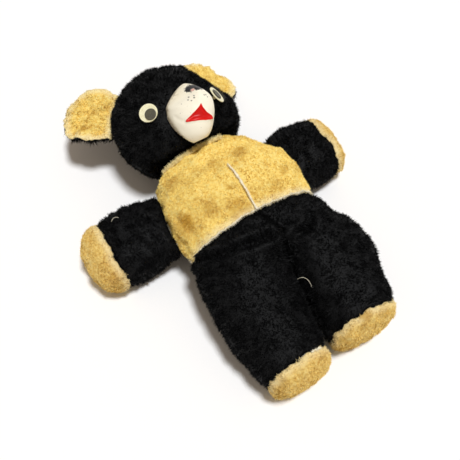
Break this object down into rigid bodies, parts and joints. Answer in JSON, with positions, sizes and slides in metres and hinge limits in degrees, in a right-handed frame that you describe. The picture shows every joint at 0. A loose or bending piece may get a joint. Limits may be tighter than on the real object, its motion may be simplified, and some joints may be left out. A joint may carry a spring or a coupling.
{
  "type": "plush teddy bear",
  "caption": "Worn two-tone plush bear lying on its back, with a moulded white muzzle, painted mouth and wiggle eyes.",
  "frame": {"origin": "middle of the flat of the torso's back, where the bear rests on the floor", "axes": "+X towards the bear's left, +Y towards its head, +Z out of its front"},
  "size_m": [0.29, 0.3785, 0.118],
  "materials": {
    "black_plush": "matted near-black plush pile",
    "tan_plush": "worn golden plush pile, stained",
    "stuffing": "loose stuffing",
    "moulded_white": "off-white moulding with worn paint",
    "eye_white": "yellowed white plastic",
    "eye_black": "dark plastic disc",
    "clear_plastic": "clear plastic dome",
    "washer_metal": "plain thin washer"
  },
  "bodies": {
    "root": {"arm_back_left": "black_plush", "arm_back_right": "black_plush", "arm_front_left": "black_plush", "arm_front_right": "black_plush", "arm_stuffing_left": "stuffing", "arm_stuffing_right": "stuffing", "body_stuffing": "stuffing", "ear_back_left": "black_plush", "ear_back_right": "black_plush", "ear_front_left": "tan_plush", "ear_front_right": "tan_plush", "eye_cup_left": "eye_white", "eye_cup_right": "eye_white", "eye_dome_left": "clear_plastic", "eye_dome_right": "clear_plastic", "eye_pupil_left": "eye_black", "eye_pupil_right": "eye_black", "eye_washer_left": "washer_metal", "eye_washer_right": "washer_metal", "foot_cap_left": "tan_plush", "foot_cap_right": "tan_plush", "head_back": "black_plush", "head_front": "black_plush", "head_stuffing": "stuffing", "leg_stuffing_left": "stuffing", "leg_stuffing_right": "stuffing", "muzzle": "moulded_white", "paw_cap_left": "tan_plush", "paw_cap_right": "tan_plush", "torso_back": "black_plush", "torso_front_left": "tan_plush", "torso_front_right": "tan_plush", "trouser_back_left": "black_plush", "trouser_back_right": "black_plush", "trouser_front_left": "black_plush", "trouser_front_right": "black_plush"}
  },
  "joints": []
}
